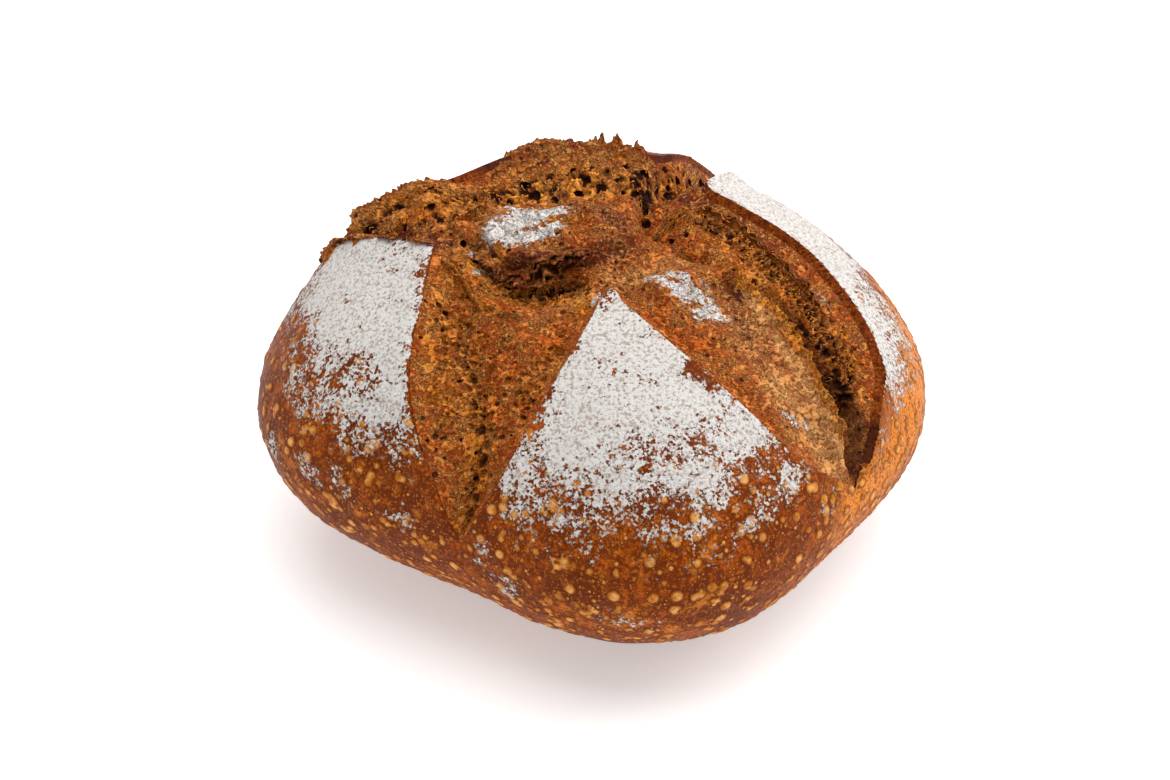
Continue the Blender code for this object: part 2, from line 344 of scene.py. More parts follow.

# Where the crust and the crumb are floured, bare, dark, golden or tan, where shade is painted on them, and
# where the crust is lighter, partly as painted light: path, half width, strength
CRUST_FLOUR_SMUDGES = [
    ([(207, 84), (211, 87)], 0.0045, 0.50),
    ([(198, 87), (202, 89)], 0.0040, 0.45),
    ([(214, 84), (218, 86)], 0.0040, 0.40),
    ([(226, 86), (230, 88)], 0.0045, 0.50),
    ([(245, 88), (251, 93)], 0.0070, 0.42),
    ([(268, 94), (276, 95)], 0.0050, 0.45),
    ([(290, 79), (294, 79)], 0.0050, 0.40),
]
CRUST_BARE_PATCHES = [
    ([(293, 51), (296, 54)], 0.0048, 1.0),
    ([(268, 25), (262, 29)], 0.0060, 0.40),
    ([(252, 44), (250, 60), (254, 70)], 0.0050, 0.30),
    ([(276, 66), (290, 66)], 0.0060, 0.30),
]
SCORCHED_CRUST = [
    ([(126, 54), (106, 54), (88, 53), (74, 54), (66, 50)], 0.0075, 1.1),
    ([(68, 52), (60, 42), (46, 37)], 0.0042, 0.9),
    ([(184, 42), (175, 55), (168, 66)], 0.0016, 0.9),
]
# Crust lighter on its right side: partly its own paler tone, partly painted light where the key light falls
LIGHTER_AND_LIT_CRUST = [
    ([(318, 90), (335, 88), (352, 84), (10, 84), (24, 90)], 0.0160, 1.1),
    ([(320, 100), (345, 100), (10, 100)], 0.0120, 0.5),
]
CRUMB_FLOUR = [
    ([(150, 18), (162, 21), (174, 26), (181, 31)], 0.0064, 1.50),
    ([(176, 17), (188, 21), (187, 29)], 0.0050, 1.25),
    ([(143, 41), (155, 33), (165, 26)], 0.0030, 0.62),
    ([(297, 23), (308, 30), (316, 33), (318, 40)], 0.0048, 0.80),
    ([(313, 23), (316, 31)], 0.0030, 0.62),
    ([(310, 38), (319, 43)], 0.0040, 0.72),
    ([(195, 40), (190, 37), (185, 39)], 0.0018, 0.80),
    ([(257, 30), (260, 27)], 0.0022, 0.60),
    ([(312, 66), (316, 72)], 0.0040, 0.38),
    ([(350, 66), (356, 58)], 0.0030, 0.35),
]
PURPLE_ZONES = [
    ([(124, 20), (110, 8), (295, 6), (250, 12)], 0.0085, 1.0),
    ([(200, 31), (213, 20), (232, 14)], 0.0045, 1.0),
    ([(182, 43), (172, 52), (167, 64)], 0.0045, 0.9),
    ([(40, 34), (14, 44), (356, 56)], 0.0050, 0.8),
    ([(337, 37), (329, 41), (320, 48)], 0.0040, 1.0),
    ([(124, 51), (100, 49), (76, 49)], 0.0044, 1.1),
    ([(66, 44), (56, 38), (46, 33), (24, 38)], 0.0056, 0.9),
    ([(316, 44), (318, 54)], 0.0060, 0.55),
    ([(310, 22), (316, 30)], 0.0050, 0.40),
]
GOLDEN_ZONES = [
    ([(190, 37), (210, 34), (232, 28), (250, 30)], 0.0075, 1.0),
    ([(350, 33), (342, 46), (335, 59), (330, 71), (326, 78)], 0.0070, 1.0),
    ([(140, 42), (115, 39), (90, 38), (74, 38)], 0.0090, 1.0),
    ([(236, 66), (240, 84)], 0.0050, 0.6),
    ([(166, 40), (158, 42), (150, 38)], 0.0070, 0.7),
]
# Painted shade on the crust's cut walls at the slit's lower end
SHADED_WALLS = [
    ([(331, 79), (325, 83), (320, 86)], 0.0040, 0.8),
]
# Painted shade in the crumb's crevice and slit, under the island and in the largest cavities
SHADED_ZONES = [
    ([(344, 51), (337, 62), (333, 70)], 0.0022, 0.9),
    ([(333, 70), (331, 76), (329, 79), (322, 84)], 0.0034, 1.1),
    ([(346, 44), (344, 51)], 0.0024, 0.5),
    ([(179, 40), (186, 36), (190, 35)], 0.0022, 0.7),
    ([(205, 29), (216, 22)], 0.0022, 0.7),
    ([(81, 46), (76, 47)], 0.0030, 0.8),
    ([(75, 38), (71, 41)], 0.0028, 0.8),
    ([(92, 41), (93, 43)], 0.0018, 0.6),
    ([(228, 66), (229, 78)], 0.0010, 0.7),
    ([(240, 72), (239, 78), (241, 83), (239, 88)], 0.0014, 0.6),
]
TAN_ZONES = [
    ([(316, 62), (317, 78)], 0.0110, 1.0),
    ([(320, 36), (317, 58)], 0.0110, 0.6),
    ([(332, 41), (329, 46), (325, 52), (323, 59), (321, 67), (319, 75), (320, 82)], 0.0026, 1.3),
    ([(172, 34), (162, 38), (156, 36)], 0.0070, 0.5),
    ([(330, 22), (300, 20), (270, 22)], 0.0080, 0.5),
    ([(232, 36), (244, 32)], 0.0050, 0.5),
]

BLISTER_SEED = 3
BLISTER_DROPS = (58, 122)

FACE_LIMIT = 190000
CRUST_FACES = 236000
WALL_STEEPNESS = 0.35  # faces of the crust that look out less than this are its cut walls
WALL_REACH = 0.002  # within this of the petals' edges
CRUST_SUBDIVISIONS = 8
CRUMB_SUBDIVISIONS = 6
CRUMB_CUTS = 7  # across each of those faces, where the crumb shows


def directions(bearings, drops):
    """Unit vectors for bearings and drops in degrees."""
    bearings, drops = np.radians(bearings), np.radians(drops)
    across = np.sin(drops)
    return np.stack([across * np.cos(bearings), across * np.sin(bearings), np.cos(drops)], axis=-1)


def on_map(units):
    """Directions laid flat round straight up, in metres along the skin."""
    drops = np.arccos(np.clip(units[..., 2], -1, 1))
    across = np.hypot(units[..., 0], units[..., 1]) + 1e-12
    return units[..., :2] * (MAP_SCALE * drops / across)[..., None]


def off_map(spots):
    """The directions of map points."""
    drops = np.hypot(*spots.T) / MAP_SCALE
    bearings = np.arctan2(spots[:, 1], spots[:, 0])
    return directions(np.degrees(bearings), np.degrees(drops))


def path_on_map(path, steps=6):
    """A smooth curve through a path's points on the map (Catmull-Rom), as points."""
    corners = on_map(directions(*np.array(path, float).T))
    padded = np.concatenate([corners[:1], corners, corners[-1:]])
    t = np.linspace(0, 1, steps, endpoint=False)[:, None]
    curve = [
        0.5
        * (
            2 * b
            + (c - a) * t
            + (2 * a - 5 * b + 4 * c - d) * t**2
            + (3 * b - a - 3 * c + d) * t**3
        )
        for a, b, c, d in zip(padded, padded[1:], padded[2:], padded[3:])
    ]
    return np.concatenate(curve + [corners[-1:]])


def scattered(path, spread, count, draw):
    """Points of the map drawn at random round a path."""
    curve = path_on_map(path, 20)
    return curve[draw.integers(0, len(curve), count)] + draw.normal(0, spread, (count, 2))


def distance_to_path(points, path):
    """Distance from each point of the map to a line of points."""
    nearest = np.full(len(points), np.inf)
    for start, end in zip(path, path[1:]):
        run = end - start
        along = ((points - start) @ run / max(run @ run, 1e-12)).clip(0, 1)
        offset = points - start - along[:, None] * run
        nearest = np.minimum(nearest, np.einsum("ij,ij->i", offset, offset))
    return np.sqrt(nearest)


def inside(points, outline):
    """Whether each point of the map lies inside a closed outline."""
    x, y = points.T
    found = np.zeros(len(points), bool)
    for (x0, y0), (x1, y1) in zip(outline, np.roll(outline, -1, axis=0)):
        if y0 != y1:
            found ^= ((y0 > y) != (y1 > y)) & (x < x0 + (y - y0) * (x1 - x0) / (y1 - y0))
    return found


def smooth_step(value):
    value = np.clip(value, 0, 1)
    return value * value * (3 - 2 * value)


def noise_at(points, size, octaves=3):
    """Smooth noise of about -1 to 1 at points in metres, with features of this size."""
    return np.array([noise.fractal(Vector(p), 1.0, 2.0, octaves) for p in points / size])


def cells_at(points, size):
    """0 on the walls between cells of this size, 1 well inside them."""
    found = np.empty(len(points))
    for index, point in enumerate(points / size):
        near = noise.voronoi(Vector(point))[0]
        found[index] = near[1] - near[0]
    return smooth_step(found / 0.32)


def noise_vectors(points, size):
    """A vector of noise at each point in metres, the same in every run."""
    noise.seed_set(NOISE_SEED)
    return np.array([noise.noise_vector(Vector(p)) for p in points / size])


def warped(points):
    """Points shifted by noise, so that cells laid over them come out uneven."""
    return points + CELL_WARP * noise_vectors(points, CELL_WARP_SIZE)


def amount(spots, strokes):
    """How strongly something drawn along paths shows at each point of the map."""
    found = np.zeros(len(spots))
    for path, half_width, strength in strokes:
        away = distance_to_path(spots, path_on_map(path))
        found = np.maximum(found, strength * np.exp(-((away / half_width) ** 2)))
    return found


def dome_radius(units):
    """Distance from the heart to the plain dome, with its bulges, in each direction."""
    bearing = np.arctan2(units[:, 1], units[:, 0])
    rise, across = units[:, 2], np.hypot(units[:, 0], units[:, 1])
    above = rise >= 0
    reach = np.where(above, DOME_HEIGHT - HEART[2], HEART[2] + UNDERSIDE_REACH)
    power = np.where(above, TOP_ROUNDNESS, UNDERSIDE_ROUNDNESS)
    ring = DOME_RADIUS * (1 + SQUARENESS * np.cos(4 * (bearing - np.radians(SQUARE_TURN))))
    radius = ((across / ring) ** power + (np.abs(rise) / reach) ** power) ** (-1 / power)
    swell = np.ones(len(units))
    for bulge_bearing, drop, spread, share in BULGES.values():
        cosine = units @ directions(bulge_bearing, drop)
        swell += share * np.exp(-((np.degrees(np.arccos(cosine.clip(-1, 1))) / spread) ** 2))
    radius *= swell
    return radius + SKIN_WAVE_HEIGHT * noise_at(units * radius[:, None], SKIN_WAVE_SIZE)


class Cut:
    """Where directions stand against the petals' cut edges."""

    def __init__(self, units):
        self.spots = on_map(units)
        edges = {name: path_on_map(path) for name, path in PETAL_EDGES.items()}
        self.apart = {name: distance_to_path(self.spots, edge) for name, edge in edges.items()}
        self.depth = np.min(list(self.apart.values()), axis=0)
        self.torn = inside(self.spots, np.concatenate(list(edges.values())))


def wandering(spots, points):
    """Map points shifted by smooth noise, so that what is drawn along them has uneven edges."""
    apart = np.array((0, 0, 1.0))
    shift = [noise_at(points + n * apart, TEAR_WANDER_SIZE, octaves=2) for n in (1, 2)]
    return spots + TEAR_WANDER * np.stack(shift, axis=-1)


def tear_relief(spots, points):
    """Height that the tear's strokes, island and crags give each point of the map."""
    spots = wandering(spots, points)
    relief = np.zeros(len(spots))
    for path, half_width, height in STROKES + FINE_STROKES:
        away = distance_to_path(spots, path_on_map(path))
        relief += height * np.exp(-((away / half_width) ** 2))
    island = path_on_map(ISLAND_PATH)
    away = distance_to_path(spots, island) + ISLAND_WANDER * noise_at(points, ISLAND_WANDER_SIZE)
    run = (island[-1] - island[0]) / np.linalg.norm(island[-1] - island[0])
    behind = smooth_step(0.5 + ((spots - island[0]) @ (-run[1], run[0])) / ISLAND_HALF_WIDTH)
    edge = ISLAND_CLIFF * (1 - behind) + ISLAND_SLOPE * behind
    relief += ISLAND_RISE * smooth_step(0.5 + (ISLAND_HALF_WIDTH - away) / edge)
    relief += CRAG_HEIGHT * noise_at(points, CRAG_SIZE)
    return relief


def crust_radius(units):
    """The crust's skin, raised to a lip beside the cut."""
    radius = dome_radius(units)
    cut = Cut(units)
    tips = on_map(directions(*np.array([SW_TIP, NW_TIP, NE_TIP, SE_TIP], float).T))
    from_tip = np.min([np.hypot(*(cut.spots - tip).T) for tip in tips], axis=0)
    for name, rise in LIP_RISES.items():
        near = np.exp(-((cut.apart[name] / LIP_WIDTH) ** 2))
        radius += np.where(cut.torn, 0, rise * near * smooth_step(from_tip / LIP_FADE))
    return radius


def crumb_radius(units):
    """The torn crumb without its pores, tucked under the crust outside the cut."""
    radius = dome_radius(units)
    cut = Cut(units)
    torn = cut.torn
    relief = np.zeros(len(units))
    relief[torn] = tear_relief(cut.spots[torn], (units * radius[:, None])[torn])
    opening = smooth_step(cut.depth / CUT_WIDTH)
    tuck = CRUMB_GAP + CRUMB_TUCK * smooth_step(cut.depth / CRUMB_TUCK_WIDTH)
    return radius + np.where(torn, opening * (relief - CUT_STEP), -tuck)


def surface_radius(units):
    """The whole loaf's skin: the crumb where it is torn, and the crust elsewhere."""
    return np.where(Cut(units).torn, crumb_radius(units), crust_radius(units))


def from_heart(units, radius):
    """Points this far from the heart in each direction."""
    return HEART + units * radius[:, None]


def raised_to(level, points, units):
    """Points below a level slid along their own directions up to it."""
    under = points[:, 2] < level
    points[under] = units[under] * (level / units[under, 2])[:, None]
    return points


# ---------------------------------------------------------------- Blender helpers


def positions(mesh):
    found = np.empty(len(mesh.vertices) * 3)
    mesh.vertices.foreach_get("co", found)
    return found.reshape(-1, 3)


def place_vertices(mesh, points):
    mesh.vertices.foreach_set("co", points.astype(np.float32).ravel())
    mesh.update()


def seen_from_heart(points):
    """Directions and distances of points from the heart."""
    offsets = points - HEART
    distances = np.linalg.norm(offsets, axis=1)
    return offsets / distances[:, None], distances


def unit_vectors(points):
    return points / np.linalg.norm(points, axis=1)[:, None]


def paint(mesh, name, values, domain="POINT"):
    """Stores one number for each vertex or face under a name that materials read."""
    layer = mesh.attributes.new(name, "FLOAT", domain)
    layer.data.foreach_set("value", values.astype(np.float32))


def nothing_selected():
    bpy.ops.object.select_all(action="DESELECT")


def new_sphere(name, subdivisions):
    nothing_selected()
    bpy.ops.mesh.primitive_ico_sphere_add(subdivisions=subdivisions, radius=1.0)
    piece = bpy.context.object
    piece.name = piece.data.name = name
    return piece


def new_mesh_piece(name, points, faces):
    mesh = bpy.data.meshes.new(name)
    mesh.from_pydata(points, [], faces)
    piece = bpy.data.objects.new(name, mesh)
    bpy.context.scene.collection.objects.link(piece)
    return piece


def joined_piece(name, parts):
    """One piece of many small meshes, each given as its points and its faces' corners."""
    starts = np.cumsum([0] + [len(points) for points, _ in parts])
    corners = [faces + start for (_, faces), start in zip(parts, starts)]
    return new_mesh_piece(name, np.concatenate([p for p, _ in parts]), np.concatenate(corners))


def apply_modifier(piece, kind, **settings):
    nothing_selected()
    piece.select_set(True)
    bpy.context.view_layer.objects.active = piece
    modifier = piece.modifiers.new(kind.lower(), kind)
    for key, value in settings.items():
        setattr(modifier, key, value)
    bpy.ops.object.modifier_apply(modifier=modifier.name)


def carve(piece, cutter):
    """Cuts one closed shape out of another, and removes the cutter."""
    apply_modifier(piece, "BOOLEAN", operation="DIFFERENCE", object=cutter, solver="MANIFOLD")
    bpy.data.objects.remove(cutter)


def thin_out(piece, faces):
    """Collapses edges, the flattest first, until so many triangles are left."""
    apply_modifier(piece, "TRIANGULATE")
    share = faces / len(piece.data.polygons)
    if share < 1:
        apply_modifier(piece, "DECIMATE", ratio=share)


def divide_faces(piece, chosen, cuts):
    """Divides the chosen faces by this many cuts along each edge."""
    form = bmesh.new()
    form.from_mesh(piece.data)
    edges = {edge for face, wanted in zip(form.faces, chosen) if wanted for edge in face.edges}
    bmesh.ops.subdivide_edges(form, edges=list(edges), cuts=cuts, use_grid_fill=True)
    bmesh.ops.triangulate(form, faces=form.faces)
    form.to_mesh(piece.data)
    form.free()


def finish_piece(piece, material, smooth_angle):
    """Gives a piece its material, its shading and its place in the frame."""
    piece.data.materials.clear()
    piece.data.materials.append(material)
    nothing_selected()
    piece.select_set(True)
    bpy.context.view_layer.objects.active = piece
    bpy.ops.object.shade_smooth_by_angle(angle=math.radians(smooth_angle))
    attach(piece, "root")
    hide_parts("loaf")


# ---------------------------------------------------------------- shader helpers


class Value:
    """A node's output. Arithmetic on it adds the Math nodes that work it out."""

    def __init__(self, shader, socket):
        self.shader = shader
        self.socket = socket

    def math(self, operation, *values):
        return self.shader.node("ShaderNodeMath", {"operation": operation}, dict(enumerate(values)))

    def __add__(self, other):
        return self.math("ADD", self, other)

    def __sub__(self, other):
        return self.math("SUBTRACT", self, other)

    def __rsub__(self, other):
        return self.math("SUBTRACT", other, self)

    def __mul__(self, other):
        return self.math("MULTIPLY", self, other)

    def __truediv__(self, other):
        return self.math("DIVIDE", self, other)

    def output(self, name):
        """Another output of the same node."""
        return Value(self.shader, self.socket.node.outputs[name])

    def most(self, other):
        return self.math("MAXIMUM", self, other)

    def size(self):
        return self.math("ABSOLUTE", self)

    def between(self, low, high):
        """0 below low, 1 above high, smooth from one to the other."""
        sockets = {"Value": self, "From Min": low, "From Max": high}
        return self.shader.node("ShaderNodeMapRange", {"interpolation_type": "SMOOTHSTEP"}, sockets)

    __radd__ = __add__
    __rmul__ = __mul__


class Shader:
    """A new material and the nodes that are added to it."""

    def __init__(self, name):
        self.material = bpy.data.materials.new(name)
        self.material.use_nodes = True
        self.tree = self.material.node_tree
        self.surface = self.tree.nodes["Principled BSDF"]

    def connect(self, socket, value):
        if isinstance(value, Value):
            self.tree.links.new(value.socket, socket)
        elif value is not None:
            socket.default_value = value

    def node(self, kind, settings=None, sockets=None, output=0):
        made = self.tree.nodes.new(kind)
        for key, value in (settings or {}).items():
            setattr(made, key, value)
        for key, value in (sockets or {}).items():
            self.connect(made.inputs[key], value)
        return Value(self, made.outputs[output])

    def place(self):
        return self.node("ShaderNodeTexCoord", output="Object")

    def painted(self, name):
        return self.node("ShaderNodeAttribute", {"attribute_name": name}, output="Fac")

    def noise(self, place, size, detail=2.0, roughness=0.5, distortion=0.0):
        sockets = {
            "Vector": place,
            "Scale": 1 / size,
            "Detail": detail,
            "Roughness": roughness,
            "Distortion": distortion,
        }
        return self.node("ShaderNodeTexNoise", None, sockets)

    def cells(self, place, size):
        """Distance to the middle of the nearest of scattered cells."""
        sockets = {"Vector": place, "Scale": 1 / size}
        return self.node("ShaderNodeTexVoronoi", None, sockets, "Distance")

    def chance(self, cells):
        """A random number from 0 to 1 for each cell."""
        return self.node("ShaderNodeSeparateColor", None, {"Color": cells.output("Color")}, "Red")

    def mix(self, share, first, second):
        sockets = {0: share, 6: first, 7: second}
        return self.node("ShaderNodeMix", {"data_type": "RGBA"}, sockets, 2)

    def bump(self, height, reach, under=None):
        """Normals of a height from 0 to 1 that stands this far out in metres."""
        sockets = {"Height": height, "Distance": reach, "Normal": under}
        return self.node("ShaderNodeBump", None, sockets)

    def finish(self, colour, roughness, normal, **constants):
        self.connect(self.surface.inputs["Base Color"], colour)
        self.connect(self.surface.inputs["Roughness"], roughness)
        self.connect(self.surface.inputs["Normal"], normal)
        for name, value in constants.items():
            self.surface.inputs[name.replace("_", " ")].default_value = value
        return self.material


def colour_property(name, description, red, green, blue):
    """A colour given as it shows on screen, from 0 to 255."""
    shown = np.array((red, green, blue)) / 255
    linear = np.where(shown < 0.04045, shown / 12.92, ((shown + 0.055) / 1.055) ** 2.4)
    return FloatVectorProperty(
        name=name,
        description=description,
        subtype="COLOR",
        size=4,
        min=0,
        max=1,
        default=(*linear, 1.0),
    )


def floured(shader, place, amount_here, under, look):
    """Flour dusted over a colour, and how much of it lies at each point."""
    grain = shader.chance(shader.cells(place, 0.0008))
    clump = shader.noise(place, 0.0030, 4, 0.65)
    broad = shader.noise(place, 0.013, 3)
    density = amount_here * 1.6 - 0.32 + (clump - 0.5) * 2.4 + (broad - 0.5) * 2.2
    cover = (density - grain).between(-0.06, 0.14) * amount_here.between(0.02, 0.10)
    heap = shader.noise(place, 0.0011, 3, 0.65)
    thick = heap.between(0.36, 0.54) * density.between(0.1, 0.7)
    powder = shader.mix(thick, look.flour_thin, look.flour)
    return shader.mix(cover, under, powder), cover, heap


# ---------------------------------------------------------------- crust


class CrustLook(bpy.types.PropertyGroup):
    blisters: IntProperty(
        name="Blisters",
        description="Raised bubbles of the crust's lower half",
        default=2800,
        min=0,
    )
    blister_height: FloatProperty(
        name="Blister height",
        description="How far the largest blisters stand out",
        default=0.0005,
        unit="LENGTH",
    )
    baked: colour_property("Baked", "Crust between the blisters", 168, 76, 8)
    dark: colour_property("Dark", "Hardest baked patches", 100, 38, 5)
    # Light also paints the crust's right side lighter, partly as painted light for the key light
    light: colour_property("Light", "Patches the oven coloured least", 234, 138, 46)
    golden: colour_property("Golden", "Sides of the blisters", 208, 126, 40)
    # Pale tops of the blisters are partly their own paler tone, partly a painted highlight
    pale: colour_property("Pale", "Tops of the blisters", 232, 170, 98)
    wall: colour_property("Wall", "Cut walls below the petals' edges", 150, 68, 18)
    scorched: colour_property("Scorched", "Crust baked almost black", 92, 42, 26)
    # Deep is painted shade on the cut walls of the tear's slit, and also the dark in the walls' grooves
    deep: colour_property("Deep", "Walls of the narrowest part of the tear", 56, 24, 10)
    sole: colour_property("Sole", "Crust that stood on the oven floor", 168, 112, 62)
    flour: colour_property("Flour", "Thick flour", 216, 213, 209)
    flour_thin: colour_property("Thin flour", "Thin flour over crust", 172, 154, 143)


def blister_tree(look):
    """Blister centres as directions, with radii in metres, denser low on the sides."""
    draw = np.random.default_rng(BLISTER_SEED)
    drops = draw.triangular(BLISTER_DROPS[0], 96, BLISTER_DROPS[1], look.blisters)
    centres = directions(draw.uniform(0, 360, look.blisters), drops)
    sizes = 0.0007 + 0.0017 * draw.random(look.blisters) ** 1.9
    tree = kdtree.KDTree(len(centres))
    for index, centre in enumerate(centres):
        tree.insert(centre, index)
    tree.balance()
    return tree, sizes


def blister_profile(units, radius, look):
    """0 to 1 over each blister, 1 at its top, and its size as a share of the largest."""
    tree, sizes = blister_tree(look)
    profile = np.zeros(len(units))
    low = np.flatnonzero(units[:, 2] < math.cos(math.radians(BLISTER_DROPS[0] - 4)))
    for index in low:
        _, nearest, away = tree.find(units[index])
        share = away * radius[index] / sizes[nearest]
        if share < 1:
            profile[index] = (1 - share**3) * (sizes[nearest] / sizes.max()) ** 0.5
    return profile


def tear_cutter():
    """A closed wedge whose sides stand along the petals' edges, radially through the crust."""
    steps = [path_on_map(path, CUT_STEPS)[:-1] for path in PETAL_EDGES.values()]
    line = np.concatenate(steps)
    units = off_map(line)
    jitter = [noise_at(units * MAP_SCALE + n, CUT_RAGGEDNESS_SIZE, 2) for n in (3, 7)]
    units = off_map(line + CUT_RAGGEDNESS * np.stack(jitter, axis=-1))
    rays = units * dome_radius(units)[:, None]
    count = len(units)
    points = np.concatenate([HEART + rays * CUT_REACH, HEART + rays * CUT_FLOOR])
    around = range(count)
    sides = [(i, (i + 1) % count, count + (i + 1) % count, count + i) for i in around]
    cutter = new_mesh_piece("tear cutter", points, sides)
    form = bmesh.new()
    form.from_mesh(cutter.data)
    form.verts.ensure_lookup_table()
    for loop in (form.verts[:count], form.verts[count:]):
        cap = form.faces.new(loop)
        bmesh.ops.triangulate(form, faces=[cap])
    bmesh.ops.triangulate(form, faces=[f for f in form.faces if len(f.verts) > 3])
    bmesh.ops.recalc_face_normals(form, faces=form.faces)
    form.to_mesh(cutter.data)
    form.free()
    return cutter


def flour_on_crust(units):
    """How much flour lies in each direction, from 0 to 1."""
    bearings = np.degrees(np.arctan2(units[:, 1], units[:, 0])) % 360
    true_drops = np.degrees(np.arccos(units[:, 2].clip(-1, 1)))
    drops = true_drops + FLOUR_WANDER * noise_at(units * MAP_SCALE, FLOUR_WANDER_SIZE, 3)
    found = np.zeros(len(units))
    for middle, half, start, end in FLOURED_PETALS:
        aside = np.abs((bearings - middle + 180) % 360 - 180)
        across = 1 - smooth_step((aside - half + 6) / 12)
        found = np.maximum(found, across * (1 - ((drops - start) / (end - start)).clip(0, 1)))
    spots = on_map(units)
    found = np.maximum(found, amount(spots, CRUST_FLOUR_SMUDGES))
    start, end = BARE_CREST_DROP
    crest = (np.abs(bearings - 118) < 50) * (1 - smooth_step((true_drops - start) / (end - start)))
    rubbed = EDGE_RUB * np.exp(-((Cut(units).depth / EDGE_RUB_WIDTH) ** 2))
    return found * (1 - crest) * (1 - rubbed) * (1 - amount(spots, CRUST_BARE_PATCHES))


def blister_layer(shader, place, size, least, most, uneven):
    """Uneven discs of random radii, at most one to a cell: how high each point stands."""
    cell = shader.cells(place, size)
    away = cell + (uneven - 0.5) * 0.25
    share = away / (shader.chance(cell) * (most - least) + least)
    return (1 - share * share).most(0.0)


def crust_material(look):
    shader = Shader("baked crust")
    place = shader.place()
    broad = shader.noise(place, 0.026, 3)
    patch = shader.noise(place, 0.012, 3, 0.6)
    mottle = shader.noise(place, 0.0042, 4, 0.65)
    fine = shader.noise(place, 0.0010, 3, 0.7)
    low = shader.painted("blistered")
    middle = blister_layer(shader, place, 0.0034, 0.04, 0.36, fine) * low
    small = blister_layer(shader, place, 0.0014, 0.02, 0.44, fine) * patch.between(0.30, 0.50) * low
    blisters = shader.painted("blister").most(middle).most(small * 0.75)
    lighter_and_lit = shader.painted("lighter_and_lit")
    colour = shader.mix(broad.between(0.42, 0.60) * 0.85, look.baked, look.dark)
    # lighter on the right side: partly the crust's own tone, partly painted light from the key light
    colour = shader.mix((patch.between(0.54, 0.66) * 0.6).most(lighter_and_lit), colour, look.light)
    colour = shader.mix(mottle.between(0.40, 0.56) * (0.85 - lighter_and_lit * 0.65), colour, look.dark)
    colour = shader.mix(fine.between(0.38, 0.50) * 0.7 + 0.3, look.dark, colour)
    colour = shader.mix(fine.between(0.56, 0.64) * 0.55, colour, look.golden)
    colour = shader.mix(blisters.between(0.02, 0.15) * 0.75, colour, look.dark)
    uneven = fine * 1.3 + 0.25
    sides = blisters.between(0.15, 0.75) * (mottle * 1.3 + 0.2) * uneven
    # blister tops paler: partly their own tone, partly a painted highlight
    paler_lit_tops = blisters.between(0.50, 0.95) * mottle.between(0.38, 0.60) * uneven
    colour = shader.mix(sides, colour, look.golden)
    colour = shader.mix(paler_lit_tops, colour, look.pale)
    wall = shader.painted("wall")
    grooves = shader.noise(place, 0.0016, 4, 0.7)
    bark = shader.mix(grooves.between(0.38, 0.54) * 0.8 + 0.2, look.deep, look.wall)
    bark = shader.mix(mottle.between(0.46, 0.60) * 0.6, bark, look.dark)
    bark = shader.mix(fine.between(0.56, 0.64) * 0.55, bark, look.golden)
    colour = shader.mix(wall, colour, bark)
    scorched = shader.painted("scorched") * (mottle * 1.8 - 0.1 + fine * 0.3)
    colour = shader.mix(scorched.between(0.15, 1.0) * 0.95, colour, look.scorched)
    # painted shade on the cut walls down the narrow slit of the tear
    colour = shader.mix(shader.painted("shaded") * wall, colour, look.deep)
    colour = shader.mix(shader.painted("sole"), colour, look.sole)
    dusting = shader.painted("flour") * (1 - wall)
    colour, cover, heap = floured(shader, place, dusting, colour, look)
    rough = cover * 0.35 + 0.48
    relief = (middle * 0.6).most(small * 0.35) + mottle * 0.35 + fine * 0.30 + grooves * wall * 1.4
    normal = shader.bump(relief, 0.0010)
    normal = shader.bump(cover * 0.7 + cover * heap * 0.6, 0.0006, normal)
    return shader.finish(colour, rough, normal, Specular_IOR_Level=0.06)


class LOAF_OT_crust(bpy.types.Operator):
    """Adds the loaf's crust: a dome cut open along the petals' edges"""

    bl_idname = "loaf.crust"
    bl_label = "Add the Crust"
    bl_options = {"REGISTER", "UNDO"}

    def execute(self, context):
        look = context.scene.crust_look
        crust = new_sphere("crust", CRUST_SUBDIVISIONS)
        units = unit_vectors(positions(crust.data))
        radius = crust_radius(units)
        radius += look.blister_height * blister_profile(units, radius, look)
        place_vertices(crust.data, HEART + raised_to(-HEART[2], units * radius[:, None], units))
        thin_out(crust, CRUST_FACES)
        carve(crust, tear_cutter())
        points = positions(crust.data)
        units, radius = seen_from_heart(points)
        paint(crust.data, "blister", blister_profile(units, radius, look))
        paint(crust.data, "flour", flour_on_crust(units))
        drops = np.degrees(np.arccos(units[:, 2].clip(-1, 1)))
        paint(crust.data, "scorched", amount(on_map(units), SCORCHED_CRUST))
        # the right side painted lighter, partly as painted light
        paint(crust.data, "lighter_and_lit", amount(on_map(units), LIGHTER_AND_LIT_CRUST))
        paint(crust.data, "shaded", amount(on_map(units), SHADED_WALLS))
        paint(crust.data, "blistered", smooth_step((drops - 60) / 18))
        paint(crust.data, "sole", 1 - smooth_step((points[:, 2] - 0.0005) / 0.002))
        paint(crust.data, "wall", self.on_wall(crust.data), "FACE")
        finish_piece(crust, crust_material(look), 40)
        return {"FINISHED"}

    def on_wall(self, mesh):
        """Whether each face stands in the cut, and isn't part of the skin."""
        middles, normals = (np.empty(len(mesh.polygons) * 3) for _ in range(2))
        mesh.polygons.foreach_get("center", middles)
        mesh.polygons.foreach_get("normal", normals)
        units, _ = seen_from_heart(middles.reshape(-1, 3))
        steep = (normals.reshape(-1, 3) * units).sum(axis=1) < WALL_STEEPNESS
        above_sole = middles[2::3] > 0.002
        return (above_sole & steep & (Cut(units).depth < WALL_REACH)).astype(float)


# ---------------------------------------------------------------- crumb


